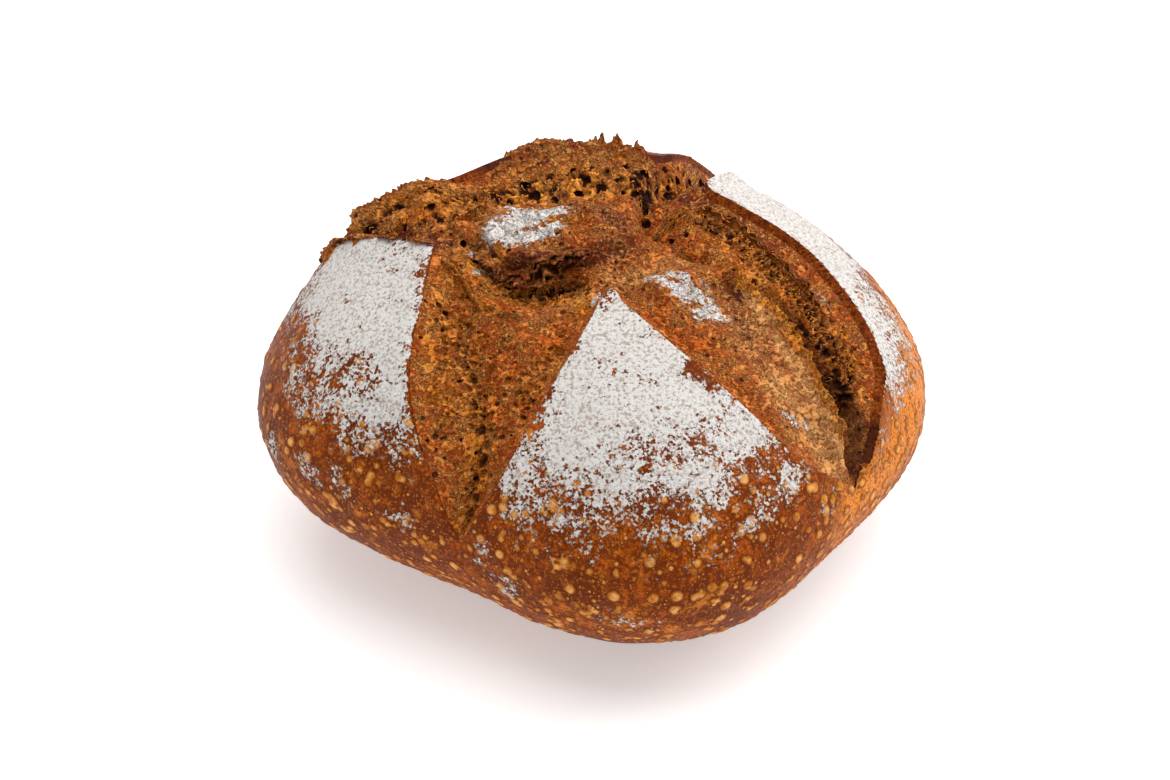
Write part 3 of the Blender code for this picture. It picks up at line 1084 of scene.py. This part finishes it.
class CrumbLook(bpy.types.PropertyGroup):
    torn: colour_property("Torn", "Torn crumb that the oven browned", 186, 84, 20)
    # Dark is also painted shade in the shallower hollows
    dark: colour_property("Dark", "Hardest baked crumb", 116, 44, 10)
    golden: colour_property("Golden", "Crumb deep in the tear", 250, 162, 46)
    # Web is the thin walls' own lighter tone and also painted highlight
    web_and_highlight: colour_property("Web", "Fine walls between pores", 244, 158, 76)
    pale: colour_property("Pale", "Crumb that the oven coloured least", 255, 186, 112)
    purple: colour_property("Purple", "Crests baked almost black", 100, 46, 36)
    # Deep is painted shade: in the pores, the cracks, the deep hollows and the crevice
    deep: colour_property("Deep", "Bottoms of the pores", 52, 18, 6)
    flour: colour_property("Flour", "Thick flour", 238, 235, 231)
    flour_thin: colour_property("Thin flour", "Thin flour over crumb", 196, 172, 156)


def torn_bubbles():
    """Centres, radii and shapes of the bubbles, and the batch that each is cut in."""
    draw = np.random.default_rng(BUBBLE_SEED)
    spots, sizes = [], []
    for path, spread, count, smallest, largest in BUBBLE_ZONES:
        spots.append(scattered(path, spread, count, draw))
        sizes.append(smallest + (largest - smallest) * draw.random(count) ** 2)
    bearings, drops, radii = np.array(CAVITIES).T
    spots.append(on_map(directions(bearings, drops)))
    sizes.append(radii)
    spots, sizes = np.concatenate(spots), np.concatenate(sizes)
    units = off_map(spots)
    cut = Cut(units)
    smooth_wall = (cut.apart["right"] < RIGHT_WALL_WIDTH) & (units[:, 0] > 0.3)
    kept = cut.torn & (cut.depth > 0.7 * sizes) & ~smooth_wall
    units, sizes = units[kept], sizes[kept]
    order = np.argsort(-sizes)
    units, sizes = units[order], sizes[order]
    sunk = sizes * draw.uniform(0.0, BUBBLE_SINK, len(sizes))
    return from_heart(units, crumb_radius(units) - sunk), sizes, draw


def batches_apart(centres, reach):
    """Splits shapes into batches in which none touches another; what fits in none is left out."""
    batches = [[] for _ in range(BUBBLE_BATCHES)]
    for index, centre in enumerate(centres):
        for batch in batches:
            others = np.array(batch, int)
            gaps = np.linalg.norm(centres[others] - centre, axis=1)
            if (gaps > reach[others] + reach[index]).all():
                batch.append(index)
                break
    return [batch for batch in batches if batch]


def bubble_mesh(name, centres, sizes, draw):
    """Uneven ellipsoids, one for each centre, as one mesh."""
    balls = {}
    for fineness in (2, 3):
        form = bmesh.new()
        bmesh.ops.create_icosphere(form, subdivisions=fineness, radius=1.0)
        corners = [[v.index for v in f.verts] for f in form.faces]
        balls[fineness] = np.array([v.co for v in form.verts]), np.array(corners)
        form.free()
    parts = []
    for centre, size in zip(centres, sizes):
        ball, faces = balls[3 if size > FINE_BALL_RADIUS else 2]
        stretch = draw.uniform(BUBBLE_FLATTEST, 1.0, 3)
        turn = np.array(Euler(draw.uniform(0, math.tau, 3)).to_matrix())
        dented = ball * (1 - BUBBLE_DENTS * draw.random((len(ball), 1)))
        parts.append((centre + size * (dented * stretch) @ turn, faces))
    return joined_piece(name, parts)


def crumb_material(look):
    shader = Shader("torn crumb")
    place = shader.place()
    hollow = shader.painted("hollow")
    patch = shader.noise(place, 0.010, 3, 0.55)
    spot = shader.noise(place, 0.0042, 3, 0.6)
    fine = shader.noise(place, 0.0013, 3, 0.6)
    threads = shader.noise(place, 0.0034, 3, 0.6, 1.2)
    colour = shader.mix(patch.between(0.40, 0.62) * 0.7, look.torn, look.dark)
    inner = (shader.painted("golden") * 0.9).most(hollow.between(0.05, 0.25) * 0.6)
    colour = shader.mix(inner * (spot * 0.8 + 0.6), colour, look.golden)
    tan = shader.painted("tan")
    colour = shader.mix(tan * 0.7, colour, look.pale)
    colour = shader.mix(shader.painted("purple") * (spot * 0.8 + 0.60), colour, look.purple)
    # lighter thin walls along threads and fine specks, partly painted highlights
    web_and_highlight = shader.mix(tan.most(inner * 0.5), look.web_and_highlight, look.pale)
    colour = shader.mix(threads.between(0.50, 0.64) * 0.65, colour, web_and_highlight)
    colour = shader.mix(spot.between(0.38, 0.48) * 0.7 + 0.3, look.dark, colour)
    colour = shader.mix(fine.between(0.36, 0.48) * 0.7 + 0.3, look.dark, colour)
    colour = shader.mix(fine.between(0.56, 0.66) * 0.7, colour, web_and_highlight)
    # cracks: painted shade down their middle and a painted highlight along their edges
    tears = (spot + fine * 0.3 - 0.65).size()
    plain = (1 - patch.between(0.46, 0.58) * 0.7).most(tan)
    colour = shader.mix(tears.between(0.03, 0.07).most(plain), web_and_highlight, colour)
    colour = shader.mix(tears.between(0.0, 0.035).most(plain * 0.7), look.deep, colour)
    # pores painted dark as painted shade, with a dent in the bump
    pores = blister_layer(shader, place, 0.0036, 0.0, 0.30, threads) * patch.between(0.40, 0.55)
    pore_shade = pores.between(0.1, 0.4) * (0.85 - tan * 0.6)
    colour = shader.mix(pore_shade, colour, look.deep)
    # painted shade: the deeper below the crumb's skin, the darker
    colour = shader.mix(hollow.between(0.18, 0.45) * 0.5, colour, look.dark)
    colour = shader.mix(hollow.between(0.35, 0.80), colour, look.deep)
    # painted shade in the crevice, under the island and in the largest cavities
    colour = shader.mix(shader.painted("shaded") * (1 - threads * 0.5), colour, look.deep)
    colour, cover, heap = floured(shader, place, shader.painted("flour"), colour, look)
    relief = fine * 0.6 + threads * 0.9 + spot * 0.6 + tears.between(0.0, 0.05) * 0.5
    normal = shader.bump(relief - pores * 0.8, 0.0016)
    normal = shader.bump(cover * 0.7 + cover * heap * 0.6, 0.0006, normal)
    return shader.finish(colour, 0.55, normal, Specular_IOR_Level=0.10)


class LOAF_OT_crumb(bpy.types.Operator):
    """Adds the loaf's crumb, torn open in the cut"""

    bl_idname = "loaf.crumb"
    bl_label = "Add the Torn Crumb"
    bl_options = {"REGISTER", "UNDO"}

    def execute(self, context):
        look = context.scene.crumb_look
        crumb = new_sphere("crumb", CRUMB_SUBDIVISIONS)
        self.refine(crumb)
        units = unit_vectors(positions(crumb.data))
        radius = crumb_radius(units)
        cut = Cut(units)
        radius[cut.torn] -= self.pitting(cut, units, radius)
        points = raised_to(CRUMB_FLOOR, units * radius[:, None], units)
        place_vertices(crumb.data, HEART + points)
        centres, sizes, draw = torn_bubbles()
        for number, batch in enumerate(batches_apart(centres, sizes * 1.02)):
            name = f"bubbles {number}"
            carve(crumb, bubble_mesh(name, centres[batch], sizes[batch], draw))
        thin_out(crumb, FACE_LIMIT)
        self.paint_crumb(crumb.data)
        finish_piece(crumb, crumb_material(look), 50)
        return {"FINISHED"}

    def refine(self, crumb):
        """Divides the faces that show, and a margin round them."""
        middles = np.empty(len(crumb.data.polygons) * 3)
        crumb.data.polygons.foreach_get("center", middles)
        cut = Cut(unit_vectors(middles.reshape(-1, 3)))
        divide_faces(crumb, cut.torn | (cut.depth < CRUMB_MARGIN), CRUMB_CUTS)

    def pitting(self, cut, units, radius):
        """How deep the torn cells and fibres lie at each torn point."""
        torn = cut.torn
        spots = cut.spots[torn]
        points = (units * radius[:, None])[torn]
        bent = warped(points)
        openness = amount(spots, OPEN_ZONES)
        smooth_wall = (cut.apart["right"][torn] < RIGHT_WALL_WIDTH) & (units[torn, 0] > 0.3)
        openness[smooth_wall] *= (cut.apart["right"][torn][smooth_wall] / RIGHT_WALL_WIDTH) ** 3
        depth = OPEN_CELL_DEPTH * openness * cells_at(bent, OPEN_CELL_SIZE)
        depth += FINE_CELL_DEPTH * (0.5 + openness) * cells_at(bent, FINE_CELL_SIZE)
        depth += FIBRE_HEIGHT * noise_at(bent, FIBRE_SIZE, 2)
        return depth * smooth_step(cut.depth[torn] / 0.003)

    def paint_crumb(self, mesh):
        units, distances = seen_from_heart(positions(mesh))
        spots = on_map(units)
        hollow = (crumb_radius(units) - distances) / HOLLOW_DEPTH
        paint(mesh, "hollow", hollow.clip(0, 1))
        paint(mesh, "golden", amount(spots, GOLDEN_ZONES))
        paint(mesh, "purple", amount(spots, PURPLE_ZONES))
        paint(mesh, "tan", amount(spots, TAN_ZONES))
        paint(mesh, "shaded", amount(spots, SHADED_ZONES))
        paint(mesh, "flour", amount(spots, CRUMB_FLOUR) * (1 - 0.8 * hollow.clip(0, 1)))


# ---------------------------------------------------------------- flakes


class FlakeLook(bpy.types.PropertyGroup):
    thickness: FloatProperty(
        name="Thickness",
        description="Of each flake, as a share of its length",
        default=0.09,
    )
    strand: FloatProperty(
        name="Strand radius",
        description="Of each web strand at its thickest",
        default=0.00022,
        unit="LENGTH",
    )


def plain_shading(mesh, values):
    """Paints what the crumb's material reads: the values given, and nothing for the rest."""
    for name in ("hollow", "golden", "purple", "tan", "shaded", "flour"):
        paint(mesh, name, values.get(name, np.zeros(len(mesh.vertices))))


def one_flake(look):
    """A thin blade of crust on +Z, bent and tapered to a torn tip."""
    nothing_selected()
    bpy.ops.mesh.primitive_grid_add(x_subdivisions=3, y_subdivisions=5, size=1.0)
    flake = bpy.context.object
    points = positions(flake.data)
    up = points[:, 1] + 0.5
    width = (1 - up) ** 0.7 * 0.60 + 0.05
    across = points[:, 0] * width
    curl = 0.25 * up**2 + 0.5 * points[:, 0] ** 2 * width
    place_vertices(flake.data, np.stack([across, curl, up], axis=-1))
    apply_modifier(flake, "SOLIDIFY", thickness=look.thickness, offset=0)
    return flake


class LOAF_OT_flakes(bpy.types.Operator):
    """Adds torn flakes along the crests of the tear"""

    bl_idname = "loaf.flakes"
    bl_label = "Add the Flakes"
    bl_options = {"REGISTER", "UNDO"}

    def execute(self, context):
        flake = one_flake(context.scene.flake_look)
        blade = positions(flake.data)
        faces = np.array([list(face.vertices) for face in flake.data.polygons])
        bpy.data.objects.remove(flake)
        draw = np.random.default_rng(FLAKE_SEED)
        parts, shades = [], []
        for path, count, longest, spread, lean in FLAKE_PATHS:
            units = off_map(scattered(path, spread, count, draw))
            roots = from_heart(units, surface_radius(units) - FLAKE_ROOT)
            for unit, root in zip(units, roots):
                heading = Vector(unit) + Vector(draw.normal(0, lean, 3))
                turn = np.array(heading.to_track_quat("Z", "Y").to_matrix())
                size = longest * draw.uniform(0.35, 1.0)
                bent = blade * (draw.uniform(0.3, 1.1), 1, 1) + draw.normal(0, 0.04, blade.shape)
                parts.append((root + size * bent @ turn.T, faces))
                shades.append(draw.random())
        flakes = joined_piece("flakes", parts)
        shade = np.repeat(shades, len(blade))
        plain_shading(flakes.data, {"purple": shade * 0.8, "golden": (1 - shade) * 0.6})
        finish_piece(flakes, crumb_material(context.scene.crumb_look), 60)
        return {"FINISHED"}


def ragged_sheet(path, height, lean, draw):
    """Rows of points of a sheet that stands up along a path, and how far up each row is."""
    curve = path_on_map(path, 60)
    passed = np.concatenate([[0], np.cumsum(np.hypot(*np.diff(curve, axis=0).T))])
    along = np.linspace(0, passed[-1], int(passed[-1] / RAGGED_STEP))
    line = np.stack([np.interp(along, passed, axis) for axis in curve.T], axis=-1)
    ahead = unit_vectors(np.gradient(line, axis=0))
    aside = np.stack([-ahead[:, 1], ahead[:, 0]], axis=-1)
    own = np.stack([along, np.full(len(along), draw.uniform(-9, 9)), np.zeros(len(along))], axis=-1)
    wander = RAGGED_WANDER * (noise_at(own, RAGGED_WANDER_SIZE, 2) + draw.uniform(-1, 1))
    line += aside * wander[:, None]
    units = off_map(line)
    leaning = unit_vectors(off_map(line + aside * RAGGED_STEP) - units)
    base = from_heart(units, surface_radius(units) - RAGGED_ROOT)
    teeth, finer_teeth = RAGGED_TEETH_SIZES
    tall = 0.55 + 0.6 * noise_at(own, teeth, 2) + 0.35 * noise_at(own + 1, finer_teeth, 2)
    ends = smooth_step(np.minimum(along, along[::-1]) / RAGGED_FADE)
    tall = height * tall.clip(0.03, 1.2) * ends
    up = np.linspace(0, 1, int(height / RAGGED_STEP) + 3)[:, None, None]
    tall = (tall + RAGGED_ROOT)[:, None]
    sheet = base + units * tall * up + leaning * lean * tall * up**2
    crumple = noise_vectors(sheet.reshape(-1, 3), RAGGED_CRUMPLE_SIZE)
    sheet += RAGGED_CRUMPLE * crumple.reshape(sheet.shape) * up
    return sheet, up[:, 0, 0]


class LOAF_OT_ragged_edges(bpy.types.Operator):
    """Adds the crumpled edges of crust that the tearing left standing"""

    bl_idname = "loaf.ragged_edges"
    bl_label = "Add the Ragged Edges"
    bl_options = {"REGISTER", "UNDO"}

    def execute(self, context):
        draw = np.random.default_rng(RAGGED_SEED)
        parts, darkness = [], []
        for path, height, lean, layers, dark in RAGGED_EDGES:
            for _ in range(layers):
                sheet, up = ragged_sheet(path, height, lean * draw.uniform(0.6, 1.2), draw)
                rows, columns = sheet.shape[:2]
                index = np.arange(rows * columns).reshape(rows, columns)
                quads = (index[:-1, :-1], index[:-1, 1:], index[1:, 1:], index[1:, :-1])
                parts.append((sheet.reshape(-1, 3), np.stack(quads, axis=-1).reshape(-1, 4)))
                darkness.append(np.repeat(up * dark, columns))
        edges = joined_piece("ragged_edges", parts)
        purple = np.concatenate(darkness)
        plain_shading(edges.data, {"purple": purple, "golden": 0.8 - 0.8 * purple})
        apply_modifier(edges, "SOLIDIFY", thickness=RAGGED_THICKNESS, offset=0)
        finish_piece(edges, crumb_material(context.scene.crumb_look), 60)
        return {"FINISHED"}


def strand_lines():
    """The middle line of each strand, as points along it and a share of the full thickness."""
    draw = np.random.default_rng(STRAND_SEED)
    along = np.linspace(-0.5, 0.5, STRAND_POINTS)
    starts, runs, lifts = [], [], []
    for path, spread, count, longest in STRAND_PATHS:
        starts.append(scattered(path, spread, count, draw))
        turns = draw.uniform(0, math.tau, count)
        lengths = longest * draw.uniform(0.3, 1.0, count)
        runs.append(np.stack([np.cos(turns), np.sin(turns)], axis=-1) * lengths[:, None])
        lifts.append(lengths * draw.uniform(0.02, 0.22, count))
    starts, runs, lifts = np.concatenate(starts), np.concatenate(runs), np.concatenate(lifts)
    cut = Cut(off_map(starts))
    kept = cut.torn & (cut.depth > STRAND_MARGIN)
    starts, runs, lifts = starts[kept], runs[kept], lifts[kept]
    aside = np.stack([-runs[:, 1], runs[:, 0]], axis=-1) * draw.normal(0, 0.25, (len(runs), 1))
    arch = 1 - (2 * along) ** 2
    spots = starts[:, None] + along[:, None] * runs[:, None] + arch[:, None] * aside[:, None]
    units = off_map(spots.reshape(-1, 2))
    rise = (arch[None] * lifts[:, None] - STRAND_ROOT * (1 - arch)[None]).ravel()
    lines = from_heart(units, crumb_radius(units) + rise)
    return lines.reshape(len(starts), STRAND_POINTS, 3), arch * 0.6 + 0.4, draw


def tube_faces():
    """Faces of one tube of rings, with its ends closed."""
    sides = range(STRAND_SIDES)
    faces = []
    for ring in range(STRAND_POINTS - 1):
        for side in sides:
            a, b = ring * STRAND_SIDES + side, ring * STRAND_SIDES + (side + 1) % STRAND_SIDES
            faces += [(a, b, b + STRAND_SIDES), (a, b + STRAND_SIDES, a + STRAND_SIDES)]
    last = (STRAND_POINTS - 1) * STRAND_SIDES
    return np.array(faces + [(2, 1, 0), (last, last + 1, last + 2)])


class LOAF_OT_strands(bpy.types.Operator):
    """Adds the thin webs that the tearing dough drew out"""

    bl_idname = "loaf.strands"
    bl_label = "Add the Strands"
    bl_options = {"REGISTER", "UNDO"}

    def execute(self, context):
        look = context.scene.flake_look
        lines, thickness, draw = strand_lines()
        ahead = np.gradient(lines, axis=1)
        outward = lines - HEART
        side = np.cross(ahead, outward)
        side /= np.linalg.norm(side, axis=2)[..., None]
        upward = outward / np.linalg.norm(outward, axis=2)[..., None]
        turns = np.linspace(0, math.tau, STRAND_SIDES, endpoint=False)
        rings = (
            np.cos(turns)[:, None] * upward[:, :, None] + np.sin(turns)[:, None] * side[:, :, None]
        )
        sizes = look.strand * thickness * draw.uniform(0.6, 1.5, (len(lines), 1))
        points = (lines[:, :, None] + rings * sizes[:, :, None, None]).reshape(-1, 3)
        each = STRAND_POINTS * STRAND_SIDES
        corners = np.concatenate([tube_faces() + each * n for n in range(len(lines))])
        strands = new_mesh_piece("strands", points, corners)
        shade = np.repeat(draw.random(len(lines)), each)
        plain_shading(strands.data, {"tan": shade * 0.5, "golden": 1 - shade})
        finish_piece(strands, crumb_material(context.scene.crumb_look), 60)
        return {"FINISHED"}


# ---------------------------------------------------------------- stage

FLOOR_SIDE = 8.0
VIEW_DISTANCE = 0.95
VIEW_DROP = 38  # degrees that the camera looks down
VIEW_TARGET = (-0.0031, -0.0014, 0.0485)
LENS = 85


class StageLook(bpy.types.PropertyGroup):
    roof_power: FloatProperty(
        name="Roof light",
        description="Power of the wide panel overhead",
        default=49.0,
        unit="POWER",
    )
    key_power: FloatProperty(
        name="Key light",
        description="Power of the panel beside the loaf",
        default=8.0,
        unit="POWER",
    )
    surround: FloatProperty(
        name="Surround",
        description="Brightness of the white tent round the loaf",
        default=0.45,
    )
    floor_glow: FloatProperty(
        name="Floor glow",
        description="Light that the floor gives out itself, so that shadows on it stay soft",
        default=0.39,
    )


def aim(thing, place, target):
    thing.location = place
    thing.rotation_euler = (Vector(target) - Vector(place)).to_track_quat("-Z", "Y").to_euler()


def add_panel(name, power, side, place):
    bpy.ops.object.light_add(type="AREA")
    panel = bpy.context.object
    panel.name = name
    panel.data.energy = power
    panel.data.size = side
    aim(panel, place, (0, 0, 0.05))


class LOAF_OT_stage(bpy.types.Operator):
    """Adds the pale floor, the lights and the camera"""

    bl_idname = "loaf.stage"
    bl_label = "Add the Stage"
    bl_options = {"REGISTER", "UNDO"}

    def execute(self, context):
        look = context.scene.stage_look
        nothing_selected()
        bpy.ops.mesh.primitive_plane_add(size=FLOOR_SIDE)
        floor = context.object
        floor.name = "floor"
        shader = Shader("white floor")
        glow = {"Emission_Color": (1, 1, 1, 1), "Emission_Strength": look.floor_glow}
        floor.data.materials.append(shader.finish((0.94, 0.94, 0.94, 1), 0.9, None, **glow))
        world = bpy.data.worlds.new("white tent")
        world.use_nodes = True
        world.node_tree.nodes["Background"].inputs["Color"].default_value = (1, 1, 1, 1)
        world.node_tree.nodes["Background"].inputs["Strength"].default_value = look.surround
        context.scene.world = world
        add_panel("roof light", look.roof_power, 2.6, (0.1, 0.35, 2.2))
        add_panel("key light", look.key_power, 0.8, (1.15, 0.35, 0.80))
        bpy.ops.object.camera_add()
        camera = context.object
        camera.name = "camera"
        camera.data.lens = LENS
        drop = math.radians(VIEW_DROP)
        back = Vector((0, -math.cos(drop), math.sin(drop))) * VIEW_DISTANCE
        aim(camera, Vector(VIEW_TARGET) + back, VIEW_TARGET)
        context.scene.camera = camera
        context.scene.view_settings.view_transform = "Standard"
        return {"FINISHED"}


# ---------------------------------------------------------------- panel and run


class LOAF_PT_loaf(bpy.types.Panel):
    """Lists what the loaf is made of"""

    bl_label = "Spelt Loaf"
    bl_idname = "LOAF_PT_loaf"
    bl_space_type = "VIEW_3D"
    bl_region_type = "UI"
    bl_category = "Loaf"

    def draw(self, context):
        for look, operators in PARTS.items():
            box = self.layout.box()
            settings = getattr(context.scene, look)
            for name in settings.__annotations__:
                box.prop(settings, name)
            for operator in operators:
                box.operator(operator)


PARTS = {
    "crust_look": ["loaf.crust"],
    "crumb_look": ["loaf.crumb"],
    "flake_look": ["loaf.flakes", "loaf.ragged_edges", "loaf.strands"],
    "stage_look": ["loaf.stage"],
}
LOOKS = {
    "crust_look": CrustLook,
    "crumb_look": CrumbLook,
    "flake_look": FlakeLook,
    "stage_look": StageLook,
}
OPERATORS = (
    LOAF_OT_crust,
    LOAF_OT_crumb,
    LOAF_OT_flakes,
    LOAF_OT_ragged_edges,
    LOAF_OT_strands,
    LOAF_OT_stage,
)


def register():
    for kind in (*LOOKS.values(), *OPERATORS, LOAF_PT_loaf):
        bpy.utils.register_class(kind)
    for name, kind in LOOKS.items():
        setattr(bpy.types.Scene, name, PointerProperty(type=kind))


def unregister():
    for name in LOOKS:
        delattr(bpy.types.Scene, name)
    for kind in (LOAF_PT_loaf, *reversed(OPERATORS), *reversed(LOOKS.values())):
        bpy.utils.unregister_class(kind)


def main():
    register()
    bpy.ops.loaf.crust()
    bpy.ops.loaf.crumb()
    bpy.ops.loaf.flakes()
    bpy.ops.loaf.ragged_edges()
    bpy.ops.loaf.strands()
    bpy.ops.loaf.stage()


if __name__ == "__main__":
    main()
